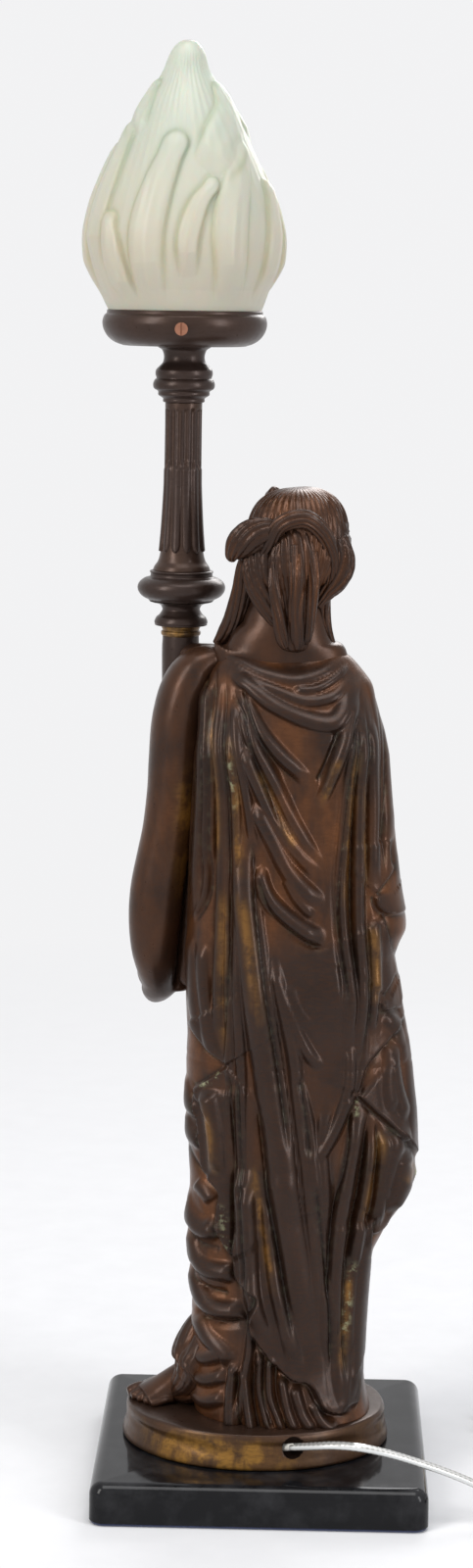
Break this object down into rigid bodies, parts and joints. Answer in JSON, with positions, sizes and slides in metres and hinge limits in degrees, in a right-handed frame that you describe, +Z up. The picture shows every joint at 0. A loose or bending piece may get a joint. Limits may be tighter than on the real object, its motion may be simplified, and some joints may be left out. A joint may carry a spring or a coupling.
{
  "type": "figural table lamp",
  "caption": "Table lamp: a draped standing figure in bronze on an oval base and square stone plinth holds a fluted torch with a frosted flame shade.",
  "frame": {"origin": "centre of the underside of the felt pad", "axes": "+Z up, +X to the right seen from behind the figure, +Y the way the figure looks, away from the picture's camera"},
  "size_m": [0.3266, 0.156, 0.687],
  "materials": {
    "felt": "dense navy felt",
    "stone": "black stone polished to a mirror gloss, opaque",
    "bronze": "cast bronze with a dark brown patina rubbed to orange in the folds",
    "gilt_bronze": "cast bronze base, brown patina worn to gold on its wall",
    "torch_bronze": "turned bronze with a dark brown patina",
    "copper": "bare copper-coloured screw",
    "steel": "zinc plated steel",
    "brass": "plain brass",
    "flame_glass": "acid-frosted pale green moulded glass",
    "clear_glass": "clear lamp glass",
    "black_plastic": "black moulded plastic",
    "ceramic": "white glazed insulator",
    "clear_pvc": "clear flexible insulation over silvery strands",
    "clear_plastic": "milky moulded plastic"
  },
  "bodies": {
    "lamp": {"anchor_nuts": "steel", "anchor_studs": "steel", "anchor_washers": "steel", "bulb_cap": "brass", "bulb_glass": "clear_glass", "bulb_stem": "clear_glass", "centre_contact": "brass", "cord_coil": "clear_pvc", "cord_lead": "clear_pvc", "cord_link": "clear_pvc", "cord_tail": "clear_pvc", "felt_pad": "felt", "figure_body": "bronze", "figure_head": "bronze", "figure_screws": "steel", "holder_cap": "black_plastic", "holder_core": "ceramic", "holder_shell": "black_plastic", "inner_flex": "clear_pvc", "lamp_tube": "brass", "left_arm": "bronze", "lock_washer": "brass", "locknut": "brass", "oval_base": "gilt_bronze", "plinth": "stone", "plug_body": "clear_plastic", "plug_pins": "brass", "right_forearm": "bronze", "screw_shell": "brass", "shade_gallery": "torch_bronze", "shade_glass": "flame_glass", "switch_base": "clear_plastic", "switch_cover": "clear_plastic", "switch_screws": "steel", "terminal_screws": "brass", "torch_bracket": "bronze", "torch_capital": "torch_bronze", "torch_column": "torch_bronze", "torch_knop": "torch_bronze", "torch_shaft": "torch_bronze", "torch_spool": "torch_bronze"},
    "rear_screw": {"gallery_screw_rear": "copper"},
    "right_screw": {"gallery_screw_right": "copper"},
    "left_screw": {"gallery_screw_left": "copper"},
    "rocker": {"switch_rocker": "clear_plastic"}
  },
  "joints": [
    {"name": "rear_screw_slide", "type": "slide", "parent": "lamp", "child": "rear_screw", "axis": [0, -1, 0], "range_m": [0, 0.003]},
    {"name": "right_screw_slide", "type": "slide", "parent": "lamp", "child": "right_screw", "axis": [0.866, 0.5, 0], "range_m": [0, 0.003]},
    {"name": "left_screw_slide", "type": "slide", "parent": "lamp", "child": "left_screw", "axis": [-0.866, 0.5, 0], "range_m": [0, 0.003]},
    {"name": "rocker_tilt", "type": "hinge", "parent": "lamp", "child": "rocker", "pos_m": [0.16, -0.062, 0.0134], "axis": [0, 1, 0], "range_deg": [-16, 0]}
  ]
}
